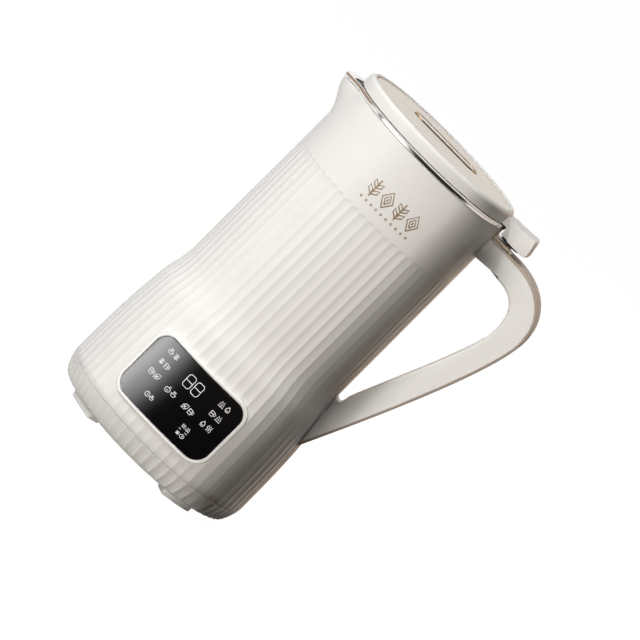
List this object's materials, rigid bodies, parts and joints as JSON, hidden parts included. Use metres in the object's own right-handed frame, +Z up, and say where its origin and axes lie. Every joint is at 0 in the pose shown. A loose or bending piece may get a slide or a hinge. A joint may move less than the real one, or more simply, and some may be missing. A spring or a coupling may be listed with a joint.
{
  "type": "soy milk maker",
  "caption": "Kettle-shaped soy milk maker with a fluted casing, pouring spout, loop handle, lift-off lid, touch panel, steel cup, blades and motor.",
  "frame": {"origin": "on the surface that the feet stand on, under the centre of the whole object's box", "axes": "+Z up; the spout points to -X, the handle to +X, the touch panel to -Y and the power inlet to +Y"},
  "size_m": [0.171, 0.1266, 0.2364],
  "materials": {
    "shell_plastic": "fine satin off-white",
    "handle_plastic": "fine satin off-white",
    "lid_plastic": "fine satin off-white",
    "beige_inset": "finely speckled beige",
    "gold_trim": "soft metallic gold",
    "cup_steel": "polished rim, satin inside",
    "blade_steel": "ground",
    "dark_steel": "oiled",
    "cast_aluminium": "cast",
    "brass": "plain",
    "panel_glass": "glossy black",
    "circuit_board": "lacquered",
    "grey_plastic": "moulded",
    "black_plastic": "moulded",
    "coupler_plastic": "glossy warm beige",
    "white_silicone": "moulded",
    "black_rubber": "moulded",
    "foot_rubber": "pale, slightly clear"
  },
  "bodies": {
    "machine": {"outer_shell": "shell_plastic", "base_cover": "shell_plastic", "base_screw_right_rear": "dark_steel", "base_screw_left_rear": "dark_steel", "base_screw_left_front": "dark_steel", "base_screw_right_front": "dark_steel", "foot_right_rear": "foot_rubber", "foot_left_rear": "foot_rubber", "foot_left_front": "foot_rubber", "foot_right_front": "foot_rubber", "panel_bezel": "shell_plastic", "panel_glass": "panel_glass", "display_board": "circuit_board", "digit_display": "grey_plastic", "inner_cup": "cup_steel", "cup_support": "grey_plastic", "heating_plate": "cast_aluminium", "heating_element": "cast_aluminium", "temperature_sensor": "brass", "thermal_fuse": "white_silicone", "bearing_seat": "blade_steel", "seat_nut": "brass", "seat_bush": "brass", "shaft_seal": "black_rubber", "motor_damper_1": "black_rubber", "motor_damper_2": "black_rubber", "motor_damper_3": "black_rubber", "motor_bracket": "cast_aluminium", "upper_bearing": "dark_steel", "stator": "dark_steel", "motor_end_cap": "cast_aluminium", "lower_bearing": "dark_steel", "power_board": "circuit_board", "inlet_socket": "black_plastic", "inlet_line": "brass", "inlet_neutral": "brass", "inlet_earth": "brass", "handle_cover": "handle_plastic", "handle_body": "handle_plastic", "handle_screw_upper": "dark_steel", "handle_screw_lower": "dark_steel", "coupler_socket": "coupler_plastic", "lid_switch": "black_plastic"},
    "lid": {"lid_cap": "lid_plastic", "lid_inset": "beige_inset", "lid_inlay": "gold_trim", "lid_liner": "white_silicone", "lid_seal": "black_rubber", "overflow_probe": "blade_steel", "coupler_plug": "black_plastic", "coupler_pin_front": "brass", "coupler_pin_rear": "brass"},
    "rotor": {"motor_shaft": "dark_steel", "rotor_core": "dark_steel", "cooling_fan": "grey_plastic", "blade_spacer": "blade_steel", "blade_lower": "blade_steel", "blade_upper": "blade_steel", "blade_nut": "blade_steel"},
    "switch_plunger": {"lid_switch_plunger": "coupler_plastic"}
  },
  "joints": [
    {"name": "lid_lift", "type": "slide", "parent": "machine", "child": "lid", "axis": [0, 0, 1], "range_m": [0, 0.06]},
    {"name": "blade_spin", "type": "hinge", "parent": "machine", "child": "rotor", "pos_m": [-0.02105, 0.00077, 0.1], "axis": [0, 0, 1], "continuous": true},
    {"name": "lid_switch_press", "type": "slide", "parent": "machine", "child": "switch_plunger", "axis": [0, 0, -1], "range_m": [0, 0.0012], "stiffness_N_per_m": 150, "springref_m": -0.001}
  ]
}
